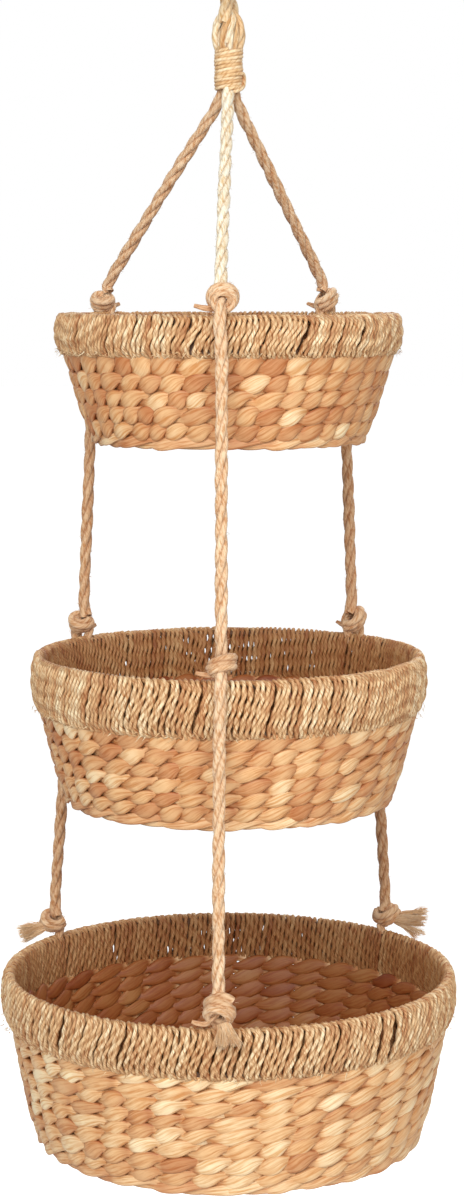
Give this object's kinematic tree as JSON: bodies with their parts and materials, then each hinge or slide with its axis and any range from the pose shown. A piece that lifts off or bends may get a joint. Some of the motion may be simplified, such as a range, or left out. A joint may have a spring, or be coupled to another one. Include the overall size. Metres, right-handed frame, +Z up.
{
  "type": "hanging fruit basket",
  "caption": "Tall hanging fruit basket: round woven bowls, smallest on top, hung one below another on knotted ropes that meet in a bound gather under a loop.",
  "frame": {"origin": "inside top of the hanging loop, where a hook bears", "axes": "+Z up, -Y towards the front rope"},
  "size_m": [0.35, 0.3717, 0.8917],
  "materials": {
    "iron_wire": "dark enamelled iron wire",
    "seagrass_cord": "two-ply twisted seagrass cord",
    "water_hyacinth": "twined dried water hyacinth",
    "hyacinth_binding": "fine hyacinth binding",
    "jute_rope": "three-strand jute rope",
    "pale_jute_rope": "three-strand jute rope, bleached",
    "jute_twine": "thin jute twine",
    "frayed_jute": "loose combed jute fibre"
  },
  "bodies": {
    "loop": {"hanging_loop": "jute_rope"},
    "gather": {"loop_crown": "pale_jute_rope", "rope_gather": "jute_rope", "whipping": "jute_twine"},
    "top_tier": {"top_wire_frame": "iron_wire", "top_rim_band": "seagrass_cord", "top_body_weave": "water_hyacinth", "top_base_binding": "hyacinth_binding", "top_base_weave": "water_hyacinth", "left_upper_rope": "jute_rope", "front_upper_rope": "pale_jute_rope", "right_upper_rope": "jute_rope"},
    "front_middle_rope": {"front_middle_rope": "jute_rope"},
    "left_middle_rope": {"left_middle_rope": "jute_rope"},
    "right_middle_rope": {"right_middle_rope": "jute_rope"},
    "middle_tier": {"middle_wire_frame": "iron_wire", "middle_rim_band": "seagrass_cord", "middle_body_weave": "water_hyacinth", "middle_base_binding": "hyacinth_binding", "middle_base_weave": "water_hyacinth", "left_middle_knot": "jute_rope", "front_middle_knot": "jute_rope", "right_middle_knot": "jute_rope"},
    "front_bottom_rope": {"front_bottom_rope": "jute_rope"},
    "left_bottom_rope": {"left_bottom_rope": "jute_rope"},
    "right_bottom_rope": {"right_bottom_rope": "jute_rope"},
    "bottom_tier": {"bottom_wire_frame": "iron_wire", "bottom_rim_band": "seagrass_cord", "bottom_body_weave": "water_hyacinth", "bottom_base_binding": "hyacinth_binding", "bottom_base_weave": "water_hyacinth", "left_bottom_knot": "jute_rope", "front_bottom_knot": "jute_rope", "right_bottom_knot": "jute_rope", "left_tassel": "frayed_jute", "front_tassel": "frayed_jute", "right_tassel": "frayed_jute"}
  },
  "joints": [
    {"name": "spin", "type": "hinge", "parent": "loop", "child": "gather", "pos_m": [0, 0, -0.0353], "axis": [0, 0, 1], "range_deg": [-180, 180]},
    {"name": "swing", "type": "hinge", "parent": "gather", "child": "top_tier", "pos_m": [0, 0, -0.0857], "axis": [0, 1, 0], "range_deg": [-15, 15]},
    {"name": "middle_sway", "type": "hinge", "parent": "top_tier", "child": "front_middle_rope", "pos_m": [-0.00472, -0.13527, -0.28855], "axis": [0, 1, 0], "range_deg": [-8, 8]},
    {"name": "left_middle_rope_sway", "type": "hinge", "parent": "top_tier", "child": "left_middle_rope", "pos_m": [-0.10593, 0.08426, -0.28855], "axis": [0, 1, 0], "range_deg": [-8.5, 8.5]},
    {"name": "right_middle_rope_sway", "type": "hinge", "parent": "top_tier", "child": "right_middle_rope", "pos_m": [0.09057, 0.10058, -0.28855], "axis": [0, 1, 0], "range_deg": [-8.5, 8.5]},
    {"name": "middle_level", "type": "hinge", "parent": "front_middle_rope", "child": "middle_tier", "pos_m": [-0.00514, -0.14721, -0.48451], "axis": [0, 1, 0], "range_deg": [-8.5, 8.5]},
    {"name": "bottom_sway", "type": "hinge", "parent": "middle_tier", "child": "front_bottom_rope", "pos_m": [-0.00651, -0.15521, -0.55665], "axis": [0, 1, 0], "range_deg": [-8, 8]},
    {"name": "left_bottom_rope_sway", "type": "hinge", "parent": "middle_tier", "child": "left_bottom_rope", "pos_m": [-0.12726, 0.08911, -0.55665], "axis": [0, 1, 0], "range_deg": [-8.5, 8.5]},
    {"name": "right_bottom_rope_sway", "type": "hinge", "parent": "middle_tier", "child": "right_bottom_rope", "pos_m": [0.11545, 0.10395, -0.55665], "axis": [0, 1, 0], "range_deg": [-8.5, 8.5]},
    {"name": "bottom_level", "type": "hinge", "parent": "front_bottom_rope", "child": "bottom_tier", "pos_m": [-0.0072, -0.17185, -0.72901], "axis": [0, 1, 0], "range_deg": [-8.5, 8.5]}
  ],
  "couplings": [
    {"joint": "left_middle_rope_sway", "follows": "middle_sway", "ratio": 1},
    {"joint": "right_middle_rope_sway", "follows": "middle_sway", "ratio": 1},
    {"joint": "middle_level", "follows": "middle_sway", "ratio": -0.9189},
    {"joint": "left_bottom_rope_sway", "follows": "bottom_sway", "ratio": 1},
    {"joint": "right_bottom_rope_sway", "follows": "bottom_sway", "ratio": 1},
    {"joint": "bottom_level", "follows": "bottom_sway", "ratio": -0.9032}
  ]
}
